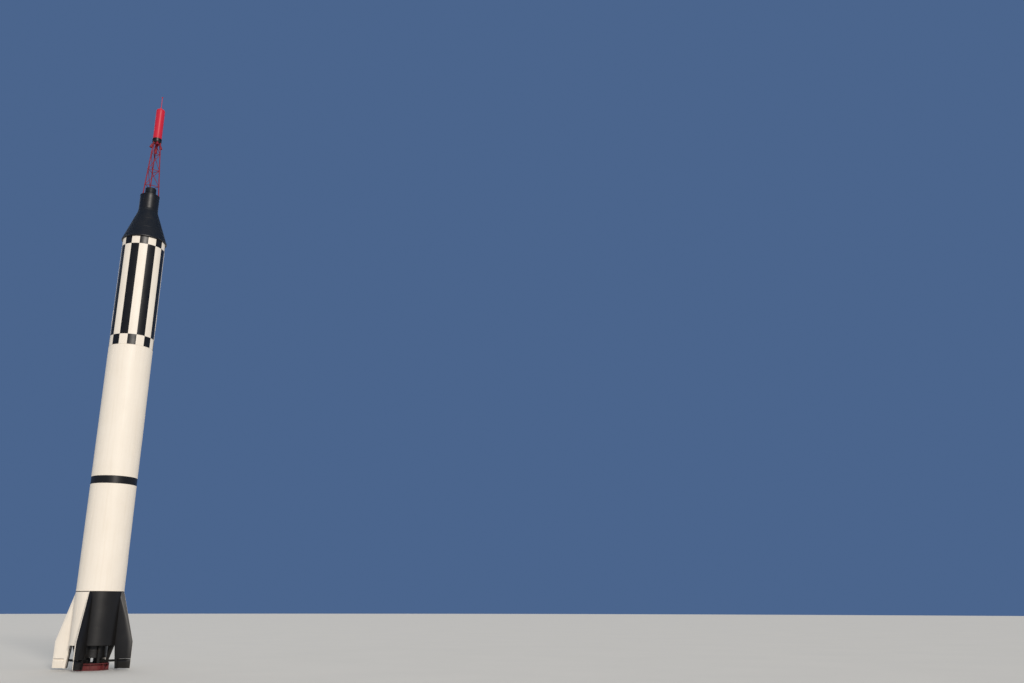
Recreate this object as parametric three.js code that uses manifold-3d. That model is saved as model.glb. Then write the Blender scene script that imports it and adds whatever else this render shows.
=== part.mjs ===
// Crewed suborbital space rocket: single-stage booster, one-seat capsule and escape tower, on
// the low stand that carries it. Millimetres, +Z up. The origin is on the axis, on the floor
// under the stand. The four fins lie along +X, +Y, -X and -Y.
import * as THREE from "three";
import { ConvexGeometry } from "three/addons/geometries/ConvexGeometry.js";
import { mergeVertices } from "three/addons/utils/BufferGeometryUtils.js";
import Module from "manifold-3d";

const wasm = await Module();
wasm.setup();

// Heights above the base ring, from the floor to the tip of the spike
const FLOOR = -930;
const FEET = -870;
const TAIL_TOP = 2047;
const BAND_BOTTOM = 6280;
const BAND_TOP = 6590;
const TANK_TOP = 12130;
const RING_TOP = 12172;
const SECTION_TOP = 16780;
const ADAPTER_TOP = 17110;
const CONE_BASE = 17190;
const CONE_TOP = 18600;
const SKIRT_TOP = 18710;
const RECOVERY_TOP = 19370;
const CANISTER_TOP = 19790;
const TOWER_TOP = 22130;
const MOTOR_BOTTOM = 22330;
const MOTOR_TOP = 23865;
const SPIKE_TOP = 24540;

// Body
const BODY_RADIUS = 889;
const BODY_SIDES = 64;
const SKIN = 30;
const JOINT_LIP = 6;
const JOINT_HEIGHT = 30;
const GAP = 0.3; // between pieces that touch

// Fins: a flat slab with a wedge along its leading edge and tip
const FIN_TOP_RADIUS = 962;
const FIN_TIP = 1530;
const FIN_KINK = 135;
const FIN_FOOT_INNER = 977;
const FIN_HALF = 115;
const FIN_EDGE_HALF = 15;
const FIN_WEDGE = 160;

// Air rudders in the fins' lower corners, and the jet vanes on the same axes
const STEER_AXIS = -620;
const RUDDER_INNER = 1062;
const RUDDER_HALF = 107;
const RUDDER_TAIL_HALF = 60;
const RUDDER_BOTTOM = FEET + 12;
const RUDDER_GAP = 12;
const SHAFT_RADIUS = 22;
const VANE_INNER = 120;
const VANE_OUTER = 330;
const VANE_HEIGHT = 320;
const BEARING_INNER = 350;
const BEARING_OUTER = 470;

// Stand: a drum on the floor, and on it a ring with four posts
const DRUM_RADIUS = 530;
const DRUM_WALL = 30;
const DRUM_TOP = -665;
const FLANGE_RADIUS = 660;
const FLANGE_THICK = 28;
const POST_INNER = 562;
const POST_OUTER = 645;
const POST_HALF = 45;

// Engine nozzle, its shroud and the base plate around them
const NOZZLE_EXIT = 373;
const NOZZLE_THROAT = 150;
const NOZZLE_BOTTOM = -450;
const NOZZLE_TOP = 560;
const NOZZLE_WALL = 14;
const HOOP_HEIGHT = 26;
const SHROUD_RADIUS = 530;
const SHROUD_WALL = 25;
const SHROUD_BOTTOM = -460;
const BASE_HOLE = 410;
const BASE_BOTTOM = 20;
const BASE_TOP = 60;
const ENGINE_RADIUS = 300;
const ENGINE_TOP = 1650;

// Capsule
const SHIELD_RADIUS = 946;
const CONE_RADIUS = 932;
const CONE_TOP_RADIUS = 425;
const CONE_ANGLE = Math.atan((CONE_RADIUS - CONE_TOP_RADIUS) / (CONE_TOP - CONE_BASE));
const CABIN_WALL = 26;
const HATCH_HEIGHT = 17800;
const HATCH_HALF_WIDTH = 284;
const HATCH_HALF_HEIGHT = 364;
const HATCH_GAP = 6;
const WINDOW_HEIGHT = 18080;
const WINDOW_HALF_WIDTH = 120;
const WINDOW_HALF_HEIGHT = 150;
const PANE_DEPTH = 8; // behind the wall's outer face
const PANE_BACK = 6; // in front of the wall's inner face
const FLANK_REACH = 200; // how far a cutting block runs either side of the cone's wall
const RECOVERY_RADIUS = 412;
const CANISTER_RADIUS = 235;
const CANISTER_FLANGE = 12;
const CANISTER_FLANGE_HEIGHT = 50;
const CANISTER_CHAMFER = 25;

// Escape tower
const CLAMP_HEIGHT = 45;
const TOWER_BASE_RADIUS = 386;
const TOWER_TOP_RADIUS = 168;
const LEG_RADIUS = 25;
const BRACE_RADIUS = 14;
const TOWER_LEVELS = [19910, 20710, 21560, 22090];
const LEG_ANGLES = [0, 120, 240];
const NOZZLE_ANGLES = [60, 180, 300];
const NOZZLE_CANT = 19;
const MOTOR_RADIUS = 191;
const JETTISON_RADIUS = 62;
const JETTISON_LENGTH = 560;
const ESCAPE_NOZZLE_LENGTH = 205;
const SPIKE_STEM = 13;
const SPIKE_CAP = 40;
const SPIKE_CAP_HEIGHT = 12;

const RAD = Math.PI / 180;
const SIDES = { right: 0, back: 90, left: 180, front: 270 };
const RIB_ANGLES = [22.5, 67.5, 112.5, 157.5, 202.5, 247.5, 292.5, 337.5];

const PAINT = {
  white: { color: 0xf4ece0, roughness: 0.45, metalness: 0.0 },
  black: { color: 0x16171a, roughness: 0.35, metalness: 0.0 },
  red: { color: 0xc22433, roughness: 0.4, metalness: 0.0 },
  shingle: { color: 0x23262f, roughness: 0.55, metalness: 0.2 },
  steel: { color: 0x6d6a66, roughness: 0.45, metalness: 0.8 },
  carbon: { color: 0x2b2b2c, roughness: 0.8, metalness: 0.0 },
  glass: { color: 0x8fa3ad, roughness: 0.05, metalness: 0.0 },
  padding: { color: 0x5b6167, roughness: 0.8, metalness: 0.0 },
};

// A closed geometry as a solid that can be joined and cut, and back
function toSolid(geometry) {
  const bare = geometry.clone();
  bare.deleteAttribute("normal");
  bare.deleteAttribute("uv");
  const merged = mergeVertices(bare, 1e-3);
  const vertProperties = merged.attributes.position.array;
  const triVerts = new Uint32Array(merged.index.array);
  return new wasm.Manifold(new wasm.Mesh({ numProp: 3, vertProperties, triVerts }));
}

function toGeometry(solid) {
  const mesh = solid.getMesh();
  const geometry = new THREE.BufferGeometry();
  geometry.setAttribute("position", new THREE.BufferAttribute(mesh.vertProperties, 3));
  geometry.setIndex(new THREE.BufferAttribute(mesh.triVerts, 1));
  geometry.computeVertexNormals();
  return geometry;
}

function join(...geometries) {
  return toGeometry(geometries.map(toSolid).reduce((whole, next) => whole.add(next)));
}

function cut(geometry, ...tools) {
  return toGeometry(tools.map(toSolid).reduce((rest, tool) => rest.subtract(tool), toSolid(geometry)));
}

function common(geometry, tool) {
  return toGeometry(toSolid(geometry).intersect(toSolid(tool)));
}

// A profile of [radius, height] points turned about the Z axis
function revolve(profile, sides = BODY_SIDES) {
  const points = profile.map(([radius, height]) => new THREE.Vector2(radius, height));
  return new THREE.LatheGeometry(points, sides).rotateX(Math.PI / 2);
}

function drum(radius, bottom, top, sides = BODY_SIDES) {
  return revolve([[0, bottom], [radius, bottom], [radius, top], [0, top]], sides);
}

function ring(inner, outer, bottom, top, sides = BODY_SIDES) {
  return revolve([[inner, bottom], [outer, bottom], [outer, top], [inner, top], [inner, bottom]], sides);
}

// A curved panel between two angles, in degrees
function panel(inner, outer, from, to, bottom, top) {
  const shape = new THREE.Shape();
  shape.absarc(0, 0, outer, from * RAD, to * RAD, false);
  shape.absarc(0, 0, inner, to * RAD, from * RAD, true);
  const options = { depth: top - bottom, bevelEnabled: false, curveSegments: BODY_SIDES / 8 };
  return new THREE.ExtrudeGeometry(shape, options).translate(0, 0, bottom);
}

function box(low, high) {
  const size = high.map((value, axis) => value - low[axis]);
  const middle = high.map((value, axis) => (value + low[axis]) / 2);
  return new THREE.BoxGeometry(...size).translate(...middle);
}

function hull(points) {
  return new ConvexGeometry(points.map((point) => new THREE.Vector3(...point)));
}

// A round bar between two points
function bar(from, to, radius, sides = 16) {
  const start = new THREE.Vector3(...from);
  const along = new THREE.Vector3(...to).sub(start);
  const upright = new THREE.Vector3(0, 1, 0);
  const turn = new THREE.Quaternion().setFromUnitVectors(upright, along.clone().normalize());
  const cylinder = new THREE.CylinderGeometry(radius, radius, along.length(), sides);
  return cylinder.applyQuaternion(turn).translate(...start.addScaledVector(along, 0.5));
}

function polar(radius, degrees, height) {
  return [radius * Math.cos(degrees * RAD), radius * Math.sin(degrees * RAD), height];
}

// The two points at a radius and height on either side of a fin's middle plane
function pair(radius, height, half) {
  return [[radius, half, height], [radius, -half, height]];
}

const group = new THREE.Group();
const rocket = new THREE.Group();
rocket.position.z = -FLOOR;
group.add(rocket);

function place(name, geometry, finish, parent = rocket) {
  const mesh = new THREE.Mesh(geometry, new THREE.MeshStandardMaterial(PAINT[finish]));
  mesh.name = name;
  parent.add(mesh);
  return mesh;
}

// Tail unit: four skin panels that meet under the fins' roots, and the base plate with its pads
function tailUnit() {
  const seam = (GAP / BODY_RADIUS / RAD) * 0.5;
  const panels = [
    // name, start angle, paint
    ["back_right", 0, "white"],
    ["back_left", 90, "black"],
    ["front_left", 180, "white"],
    ["front_right", 270, "black"],
  ];
  for (const [name, start, finish] of panels) {
    const skin = panel(BODY_RADIUS - SKIN, BODY_RADIUS, start + seam, start + 90 - seam, 0, TAIL_TOP - GAP);
    place("tail_panel_" + name, skin, finish);
  }
  const rim = BODY_RADIUS - SKIN - 2;
  const plate = ring(BASE_HOLE, rim, BASE_BOTTOM, BASE_TOP);
  const pad = box([POST_INNER - 5, -POST_HALF - 20, 0], [POST_OUTER + 15, POST_HALF + 20, BASE_BOTTOM + 5]);
  const pads = panels.map(([, start]) => pad.clone().rotateZ((start + 45) * RAD));
  place("base_plate", join(plate, ...pads), "steel");
}

// The stand: a flanged drum on the floor, and a ring on four posts under the base plate's pads
function stand() {
  const drumWall = ring(DRUM_RADIUS - DRUM_WALL, DRUM_RADIUS, FLOOR, DRUM_TOP);
  const foot = ring(DRUM_RADIUS - 5, FLANGE_RADIUS, FLOOR, FLOOR + FLANGE_THICK);
  const head = ring(DRUM_RADIUS - 5, FLANGE_RADIUS, DRUM_TOP - FLANGE_THICK, DRUM_TOP);
  const rib = box([DRUM_RADIUS - 5, -8, FLOOR + 5], [FLANGE_RADIUS - 15, 8, DRUM_TOP - 5]);
  const ribs = RIB_ANGLES.map((angle) => rib.clone().rotateZ(angle * RAD));
  place("stand_drum", join(drumWall, foot, head, ...ribs), "red");
  const saddle = ring(SHROUD_RADIUS + 22, FLANGE_RADIUS - 5, -FLANGE_THICK, -GAP);
  const post = box([POST_INNER, -POST_HALF, DRUM_TOP + GAP], [POST_OUTER, POST_HALF, -5]);
  const posts = Object.values(SIDES).map((angle) => post.clone().rotateZ((angle + 45) * RAD));
  place("stand_ring", join(saddle, ...posts), "steel");
}

// Engine: one plain block closed in the tail, and the bell that shows below it
function engine() {
  place("engine_block", drum(ENGINE_RADIUS, NOZZLE_TOP + GAP, ENGINE_TOP, 32), "steel");
  const outer = [
    [NOZZLE_EXIT, NOZZLE_BOTTOM],
    [NOZZLE_EXIT - 22, -200],
    [NOZZLE_EXIT - 75, 60],
    [NOZZLE_THROAT + 65, 330],
    [NOZZLE_THROAT, 480],
    [NOZZLE_THROAT, NOZZLE_TOP],
  ];
  const inner = outer.map(([radius, height]) => [radius - NOZZLE_WALL, height]).reverse();
  const bell = revolve([...inner.slice(-1), ...outer, ...inner], 40);
  const hoops = [
    // bottom, inner radius, outer radius
    [NOZZLE_BOTTOM, NOZZLE_EXIT - 11, NOZZLE_EXIT + 12],
    [-250, NOZZLE_EXIT - 27, NOZZLE_EXIT - 6],
    [-60, NOZZLE_EXIT - 61, NOZZLE_EXIT - 39],
  ].map(([bottom, inside, outside]) => ring(inside, outside, bottom, bottom + HOOP_HEIGHT, 40));
  place("engine_nozzle", join(bell, ...hoops), "steel");
  const shroud = revolve([
    [SHROUD_RADIUS - SHROUD_WALL, SHROUD_BOTTOM],
    [SHROUD_RADIUS + 14, SHROUD_BOTTOM],
    [SHROUD_RADIUS + 14, SHROUD_BOTTOM + 24],
    [SHROUD_RADIUS, SHROUD_BOTTOM + 24],
    [SHROUD_RADIUS, BASE_BOTTOM - GAP],
    [SHROUD_RADIUS - SHROUD_WALL, BASE_BOTTOM - GAP],
    [SHROUD_RADIUS - SHROUD_WALL, SHROUD_BOTTOM],
  ]);
  place("engine_shroud", shroud, "black");
}

// One fin with its notch for the air rudder and the socket of its shaft, drawn along +X
function finGeometry() {
  const ridge = FIN_TIP - FIN_WEDGE;
  const top = TAIL_TOP - 17;
  const slab = hull([
    ...pair(FIN_TOP_RADIUS - FIN_WEDGE, top, FIN_HALF),
    ...pair(ridge, FIN_KINK, FIN_HALF),
    ...pair(ridge, FEET, FIN_HALF),
    ...pair(FIN_FOOT_INNER, FEET, FIN_HALF),
    ...pair(BODY_RADIUS - 12, 0, FIN_HALF),
    ...pair(FIN_TOP_RADIUS, top, FIN_EDGE_HALF),
    ...pair(FIN_TIP, FIN_KINK, FIN_EDGE_HALF),
    ...pair(FIN_TIP, FEET, FIN_EDGE_HALF),
  ]);
  const notchTop = STEER_AXIS + RUDDER_HALF + RUDDER_GAP;
  const notch = box([RUDDER_INNER - RUDDER_GAP, -200, FEET - 10], [FIN_TIP + 10, 200, notchTop]);
  const socket = bar([RUDDER_INNER - 70, 0, STEER_AXIS], [RUDDER_INNER, 0, STEER_AXIS], SHAFT_RADIUS + 6);
  const body = drum(BODY_RADIUS + GAP, -GAP, TAIL_TOP + 20);
  return cut(slab, notch, socket, body);
}

// One air rudder with its stub shaft, drawn along +X: its nose is round about the hinge axis
function rudderGeometry() {
  const noseSteps = 10;
  const sections = [
    // radius, half thickness at the axis, half thickness at the tail
    [RUDDER_INNER, RUDDER_HALF, RUDDER_TAIL_HALF],
    [FIN_TIP - FIN_WEDGE, RUDDER_HALF, RUDDER_TAIL_HALF],
    [FIN_TIP, FIN_EDGE_HALF, FIN_EDGE_HALF],
  ];
  const points = [];
  for (const [radius, half, tail] of sections) {
    for (let step = 0; step <= noseSteps; step += 1) {
      const angle = (step / noseSteps) * Math.PI;
      points.push([radius, half * Math.cos(angle), STEER_AXIS + RUDDER_HALF * Math.sin(angle)]);
    }
    points.push(...pair(radius, RUDDER_BOTTOM, tail));
  }
  const shaft = bar([RUDDER_INNER - 60, 0, STEER_AXIS], [RUDDER_INNER + 5, 0, STEER_AXIS], SHAFT_RADIUS);
  return join(hull(points), shaft);
}

// One jet vane, a double wedge of carbon on a round shaft, drawn along +X
function vaneGeometry() {
  const points = [];
  for (const [radius, half] of [[VANE_INNER, 12], [VANE_OUTER, 20]]) {
    points.push([radius, 0, STEER_AXIS + VANE_HEIGHT * 0.45]);
    points.push(...pair(radius, STEER_AXIS, half));
    points.push([radius, 0, STEER_AXIS - VANE_HEIGHT * 0.55]);
  }
  const shaft = bar([VANE_OUTER - 30, 0, STEER_AXIS], [BEARING_OUTER - 5, 0, STEER_AXIS], SHAFT_RADIUS);
  return join(hull(points), shaft);
}

// The bracket that carries a jet vane, drawn along +X: a bearing, an arm to the fin, a post up
function bracketGeometry() {
  const half = 34;
  const bearing = box([BEARING_INNER, -62, STEER_AXIS - 30], [BEARING_OUTER + 20, 62, STEER_AXIS + 90]);
  const arm = hull([
    ...pair(BEARING_OUTER, STEER_AXIS - 20, half),
    ...pair(BEARING_OUTER, STEER_AXIS + 80, half),
    ...pair(FIN_FOOT_INNER - 48, STEER_AXIS + 10, half),
    ...pair(FIN_FOOT_INNER - 58, STEER_AXIS + 90, half),
  ]);
  const post = hull([
    ...pair(BEARING_OUTER + 90, STEER_AXIS + 60, half),
    ...pair(BEARING_OUTER + 180, STEER_AXIS + 60, half),
    ...pair(690, BASE_BOTTOM - GAP, half),
    ...pair(830, BASE_BOTTOM - GAP, half),
  ]);
  const bore = bar([BEARING_INNER - 10, 0, STEER_AXIS], [BEARING_OUTER, 0, STEER_AXIS], SHAFT_RADIUS + 6);
  return cut(join(bearing, arm, post), bore);
}

function steering() {
  const quarterPieces = [
    // name, geometry, paint
    ["fin", finGeometry(), "white"],
    ["rudder", rudderGeometry(), "white"],
    ["jet_vane", vaneGeometry(), "carbon"],
    ["vane_bracket", bracketGeometry(), "steel"],
  ];
  for (const [side, angle] of Object.entries(SIDES)) {
    const quarter = new THREE.Group();
    quarter.rotation.z = angle * RAD;
    rocket.add(quarter);
    for (const [name, geometry, finish] of quarterPieces) {
      place(name + "_" + side, geometry, finish, quarter);
    }
  }
}

// Tanks, coloured band, joint ring, instrument section and adapter, each with its own joint line
function bodySections() {
  const sections = [
    // name, bottom, top, radius, paint
    ["black_band", BAND_BOTTOM, BAND_TOP, BODY_RADIUS, "black"],
    ["oxidiser_tank", BAND_TOP, TANK_TOP, BODY_RADIUS, "white"],
    ["separation_ring", TANK_TOP, RING_TOP, BODY_RADIUS - 5, "white"],
    ["instrument_section", RING_TOP, SECTION_TOP, BODY_RADIUS, "white"],
    ["capsule_adapter", SECTION_TOP, ADAPTER_TOP, BODY_RADIUS, "white"],
  ];
  for (const [name, bottom, top, radius, finish] of sections) {
    place(name, drum(radius, bottom, top - GAP), finish);
  }
  const fuelTank = revolve([
    [0, TAIL_TOP],
    [BODY_RADIUS + JOINT_LIP, TAIL_TOP],
    [BODY_RADIUS + JOINT_LIP, TAIL_TOP + JOINT_HEIGHT],
    [BODY_RADIUS, TAIL_TOP + JOINT_HEIGHT],
    [BODY_RADIUS, BAND_BOTTOM - GAP],
    [0, BAND_BOTTOM - GAP],
  ]);
  place("fuel_tank", fuelTank, "white");
}

// The cabin: a hollow cone with its hatch and window cut square to the flank, couch and panel
function cabin() {
  const flank = CABIN_WALL / Math.cos(CONE_ANGLE);
  // The wall between two depths below its outer face
  const wall = (outside, inside) => revolve([
    [CONE_RADIUS - inside, CONE_BASE],
    [CONE_RADIUS - outside, CONE_BASE],
    [CONE_TOP_RADIUS - outside, CONE_TOP],
    [CONE_TOP_RADIUS - inside, CONE_TOP],
    [CONE_RADIUS - inside, CONE_BASE],
  ]);
  // A block square to the flank at a height, turned to an angle about the axis
  const flankBlock = (halfWidth, halfHeight, height, angle) =>
    box([-FLANK_REACH, -halfWidth, -halfHeight], [FLANK_REACH, halfWidth, halfHeight])
      .applyMatrix4(new THREE.Matrix4().makeRotationY(-CONE_ANGLE))
      .translate(CONE_RADIUS - (height - CONE_BASE) * Math.tan(CONE_ANGLE), 0, height)
      .rotateZ(angle * RAD);
  const hatchBlock = (gap) =>
    flankBlock(HATCH_HALF_WIDTH + gap, HATCH_HALF_HEIGHT + gap, HATCH_HEIGHT, SIDES.right);
  const windowBlock = (gap) =>
    flankBlock(WINDOW_HALF_WIDTH - gap, WINDOW_HALF_HEIGHT - gap, WINDOW_HEIGHT, SIDES.back);
  place("cabin_shell", cut(wall(0, flank), hatchBlock(HATCH_GAP), windowBlock(0)), "shingle");
  place("cabin_hatch", common(wall(0, flank), hatchBlock(0)), "shingle");
  place("cabin_window", common(wall(PANE_DEPTH, flank - PANE_BACK), windowBlock(GAP)), "glass");

  const floor = CONE_BASE + GAP;
  const back = box([-250, -160, floor], [250, 500, floor + 110]);
  const head = box([-150, 300, floor + 100], [150, 500, floor + 150]);
  const thighs = hull([
    [-230, -160, floor], [230, -160, floor], [-230, -160, floor + 110], [230, -160, floor + 110],
    [-230, -420, floor], [230, -420, floor], [-230, -420, floor + 330], [230, -420, floor + 330],
  ]);
  const shins = box([-230, -640, floor], [230, -419, floor + 250]);
  place("cabin_couch", join(back, head, thighs, shins), "padding");
  const panelBottom = 18240;
  const board = box([-280, -240, panelBottom], [280, 140, panelBottom + 45]);
  const hangers = [-180, 180].map((x) => box([x - 20, -90, panelBottom + 40], [x + 20, 0, CONE_TOP]));
  place("instrument_panel", join(board, ...hangers), "steel");
}

// Capsule outside the cabin: dished heat shield, recovery section and antenna canister
function capsule() {
  const dish = [
    [0, ADAPTER_TOP],
    [SHIELD_RADIUS - 60, ADAPTER_TOP],
    [SHIELD_RADIUS, ADAPTER_TOP + 26],
    [SHIELD_RADIUS, CONE_BASE - 20],
    [CONE_RADIUS, CONE_BASE - GAP],
    [0, CONE_BASE - GAP],
  ];
  place("heat_shield", revolve(dish), "shingle");
  cabin();
  const skirt = [
    [0, CONE_TOP + GAP],
    [CONE_TOP_RADIUS, CONE_TOP + GAP],
    [RECOVERY_RADIUS, SKIRT_TOP],
    [0, SKIRT_TOP],
  ];
  place("recovery_skirt", revolve(skirt, 48), "shingle");
  place("recovery_section", drum(RECOVERY_RADIUS, SKIRT_TOP + GAP, RECOVERY_TOP, 48), "shingle");
  const canister = [
    [0, RECOVERY_TOP + GAP],
    [CANISTER_RADIUS + CANISTER_FLANGE, RECOVERY_TOP + GAP],
    [CANISTER_RADIUS + CANISTER_FLANGE, RECOVERY_TOP + CANISTER_FLANGE_HEIGHT],
    [CANISTER_RADIUS, RECOVERY_TOP + CANISTER_FLANGE_HEIGHT],
    [CANISTER_RADIUS, CANISTER_TOP - CANISTER_CHAMFER],
    [CANISTER_RADIUS - CANISTER_CHAMFER, CANISTER_TOP],
    [0, CANISTER_TOP],
  ];
  place("antenna_canister", revolve(canister, 40), "shingle");
}

// Three legs, level bars and one diagonal in each bay of each face
function latticeGeometry(legBottom) {
  const radiusAt = (height) => {
    const rise = (height - RECOVERY_TOP) / (TOWER_TOP - RECOVERY_TOP);
    return TOWER_BASE_RADIUS + rise * (TOWER_TOP_RADIUS - TOWER_BASE_RADIUS);
  };
  const legPoint = (angle, height) => polar(radiusAt(height), angle, height);
  const bars = LEG_ANGLES.map((angle) =>
    bar(legPoint(angle, RECOVERY_TOP), legPoint(angle, TOWER_TOP + 20), LEG_RADIUS, 12),
  );
  LEG_ANGLES.forEach((angle, face) => {
    const next = LEG_ANGLES[(face + 1) % LEG_ANGLES.length];
    TOWER_LEVELS.forEach((level, bay) => {
      bars.push(bar(legPoint(angle, level), legPoint(next, level), BRACE_RADIUS, 8));
      if (bay > 0) {
        bars.push(bar(legPoint(angle, TOWER_LEVELS[bay - 1]), legPoint(next, level), BRACE_RADIUS, 8));
      }
    });
  });
  const trim = box([-600, -600, legBottom], [600, 600, TOWER_TOP]);
  return common(join(...bars), trim);
}

// Escape tower: clamp ring, lattice, jettison motor, nozzle block, nozzles, motor and spike
function escapeTower() {
  const ringBottom = RECOVERY_TOP + GAP;
  const clamp = ring(RECOVERY_RADIUS - 70, RECOVERY_RADIUS + 8, ringBottom, ringBottom + CLAMP_HEIGHT, 48);
  place("tower_clamp_ring", clamp, "shingle");
  place("tower_lattice", latticeGeometry(ringBottom + CLAMP_HEIGHT + GAP), "red");
  const jettison = revolve([
    [0, TOWER_TOP - JETTISON_LENGTH],
    [30, TOWER_TOP - JETTISON_LENGTH],
    [JETTISON_RADIUS, TOWER_TOP - JETTISON_LENGTH + 60],
    [JETTISON_RADIUS, TOWER_TOP - GAP],
    [0, TOWER_TOP - GAP],
  ], 24);
  place("jettison_motor", jettison, "red");
  const block = revolve([
    [0, TOWER_TOP + GAP],
    [MOTOR_RADIUS - 10, TOWER_TOP + GAP],
    [MOTOR_RADIUS + 14, TOWER_TOP + 50],
    [MOTOR_RADIUS + 14, MOTOR_BOTTOM - GAP],
    [0, MOTOR_BOTTOM - GAP],
  ], 32);
  place("nozzle_block", block, "black");
  const nozzle = revolve(
    [[24, 0], [52, -ESCAPE_NOZZLE_LENGTH], [66, -ESCAPE_NOZZLE_LENGTH], [38, 0], [24, 0]],
    20,
  );
  NOZZLE_ANGLES.forEach((angle, index) => {
    const arm = new THREE.Group();
    arm.rotation.z = angle * RAD;
    rocket.add(arm);
    const mesh = place("escape_nozzle_" + (index + 1), nozzle, "red", arm);
    mesh.rotation.y = -NOZZLE_CANT * RAD;
    mesh.position.set(MOTOR_RADIUS, 0, TOWER_TOP - 15);
  });
  const motor = revolve([
    [0, MOTOR_BOTTOM],
    [MOTOR_RADIUS, MOTOR_BOTTOM],
    [MOTOR_RADIUS, MOTOR_TOP - 70],
    [MOTOR_RADIUS - 50, MOTOR_TOP],
    [0, MOTOR_TOP],
  ], 40);
  place("escape_motor", motor, "red");
  const spike = revolve([
    [0, MOTOR_TOP + GAP],
    [100, MOTOR_TOP + GAP],
    [30, MOTOR_TOP + 110],
    [SPIKE_STEM, MOTOR_TOP + 150],
    [SPIKE_STEM, SPIKE_TOP - SPIKE_CAP_HEIGHT],
    [SPIKE_CAP, SPIKE_TOP - SPIKE_CAP_HEIGHT],
    [SPIKE_CAP, SPIKE_TOP],
    [0, SPIKE_TOP],
  ], 20);
  place("nose_spike", spike, "red");
}

stand();
tailUnit();
engine();
steering();
bodySections();
capsule();
escapeTower();

export default group;
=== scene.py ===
"""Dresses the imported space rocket: painted booster, engine and stand, capsule and escape tower."""

import math

import bmesh
import bpy
from mathutils import Matrix, Vector


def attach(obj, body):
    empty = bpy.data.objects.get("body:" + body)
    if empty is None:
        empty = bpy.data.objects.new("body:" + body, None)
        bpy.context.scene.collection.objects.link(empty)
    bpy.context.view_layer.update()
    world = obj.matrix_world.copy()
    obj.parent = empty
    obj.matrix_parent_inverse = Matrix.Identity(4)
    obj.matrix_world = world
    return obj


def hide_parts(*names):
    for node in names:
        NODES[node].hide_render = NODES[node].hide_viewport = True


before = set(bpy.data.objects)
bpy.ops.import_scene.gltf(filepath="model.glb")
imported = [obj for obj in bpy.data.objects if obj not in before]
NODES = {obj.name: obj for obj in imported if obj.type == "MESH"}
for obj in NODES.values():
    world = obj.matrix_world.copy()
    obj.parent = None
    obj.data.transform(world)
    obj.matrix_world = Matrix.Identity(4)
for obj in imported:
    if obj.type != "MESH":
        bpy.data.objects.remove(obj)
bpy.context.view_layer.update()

# Heights in metres above the floor. BASE is the booster's base ring.
BASE = 0.93
TAIL_TOP = BASE + 2.047
BAND_BOTTOM = BASE + 6.28
BAND_TOP = BASE + 6.59
TANK_TOP = BASE + 12.13
RING_TOP = BASE + 12.172
CHECK_TOP = BASE + 12.625
SECTION_TOP = BASE + 16.78
ADAPTER_TOP = BASE + 17.11
CONE_BASE = BASE + 17.19
HATCH_HEIGHT = BASE + 17.8
WINDOW_HEIGHT = BASE + 18.08
CONE_TOP = BASE + 18.60
SKIRT_TOP = BASE + 18.71
RECOVERY_TOP = BASE + 19.37
CANISTER_TOP = BASE + 19.79
TOWER_TOP = BASE + 22.13
MOTOR_BOTTOM = BASE + 22.33
MOTOR_TOP = BASE + 23.865
SPIKE_TOP = BASE + 24.54

# Radii in metres. BODY is the booster's skin, BLOCK_RADIUS the block of the escape nozzles.
BODY = 0.889
DRUM_RADIUS = 0.530
FLANGE_RADIUS = 0.660
SHROUD_RADIUS = 0.530
SHIELD_RADIUS = 0.946
CONE_RADIUS = 0.932
CONE_TOP_RADIUS = 0.425
RECOVERY_RADIUS = 0.412
CANISTER_RADIUS = 0.235
CLAMP_RADIUS = 0.420
TOWER_FOOT_RADIUS = 0.386
TOWER_HEAD_RADIUS = 0.168
LEG_RADIUS = 0.025
BRACE_RADIUS = 0.014
JETTISON_RADIUS = 0.062
BLOCK_RADIUS = 0.205
MOTOR_RADIUS = 0.191

CONE_ANGLE = math.atan((CONE_RADIUS - CONE_TOP_RADIUS) / (CONE_TOP - CONE_BASE))
CABIN_WALL = 0.026
TANK_LIP = 0.006

# GAP parts two pieces that meet. Two places nearer than NEAR count as one.
GAP = 0.0003
NEAR = 1e-4

DRUM_SIDES = 192
SEGMENTS = 16
SIDES = {"right": 0, "back": 90, "left": 180, "front": 270}

# Couch pads: the mesh's step, how far cloth may swell, the strip held at an edge, corners
PAD_VOXEL = 0.0095
PAD_SWELL = 0.010
PAD_EDGE = 0.009
PAD_CORNER = 0.035
# The filling's pressure, the cloth's slack and the frames it settles in
PAD_PRESSURE = 4
PAD_SLACK = 0.04
PAD_FRAMES = 20
# Sewn seams and the piping's radius
SEAM_WIDTH = 0.012
SEAM_DEPTH = 0.006
PIPING = 0.004

# The photograph's own tilt and roll in degrees, place in metres, and lens in pixels of its width
CAMERA_TILT = 16.4149
CAMERA_ROLL = 0.0950
CAMERA_PLACE = (16.537, -37.60, BASE + 1.471)
FOCAL_PIXELS = 900.97
IMAGE_PIXELS = 1024
FILM_WIDTH = 36

ROOM_COLOR = (0.92, 0.96, 1.0, 1)
ROOM_LIGHT = 0.52
BACKDROP_COLOR = (0.070, 0.130, 0.265, 1)


def camera():
    tilt = math.radians(CAMERA_TILT)
    roll = math.radians(CAMERA_ROLL)
    forward = Vector((0, math.cos(tilt), math.sin(tilt)))
    level_up = Vector((0, -math.sin(tilt), math.cos(tilt)))
    right = Vector((1, 0, 0)) * math.cos(roll) + level_up * math.sin(roll)
    up = right.cross(forward)
    data = bpy.data.cameras.new("camera")
    data.sensor_fit = "HORIZONTAL"
    data.sensor_width = FILM_WIDTH
    data.lens = FOCAL_PIXELS / IMAGE_PIXELS * FILM_WIDTH
    data.clip_end = 400
    eye = bpy.data.objects.new("camera", data)
    turned_back = Matrix((right, up, -forward)).transposed().to_4x4()
    eye.matrix_world = Matrix.Translation(CAMERA_PLACE) @ turned_back
    bpy.context.scene.collection.objects.link(eye)
    bpy.context.scene.camera = eye


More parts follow.
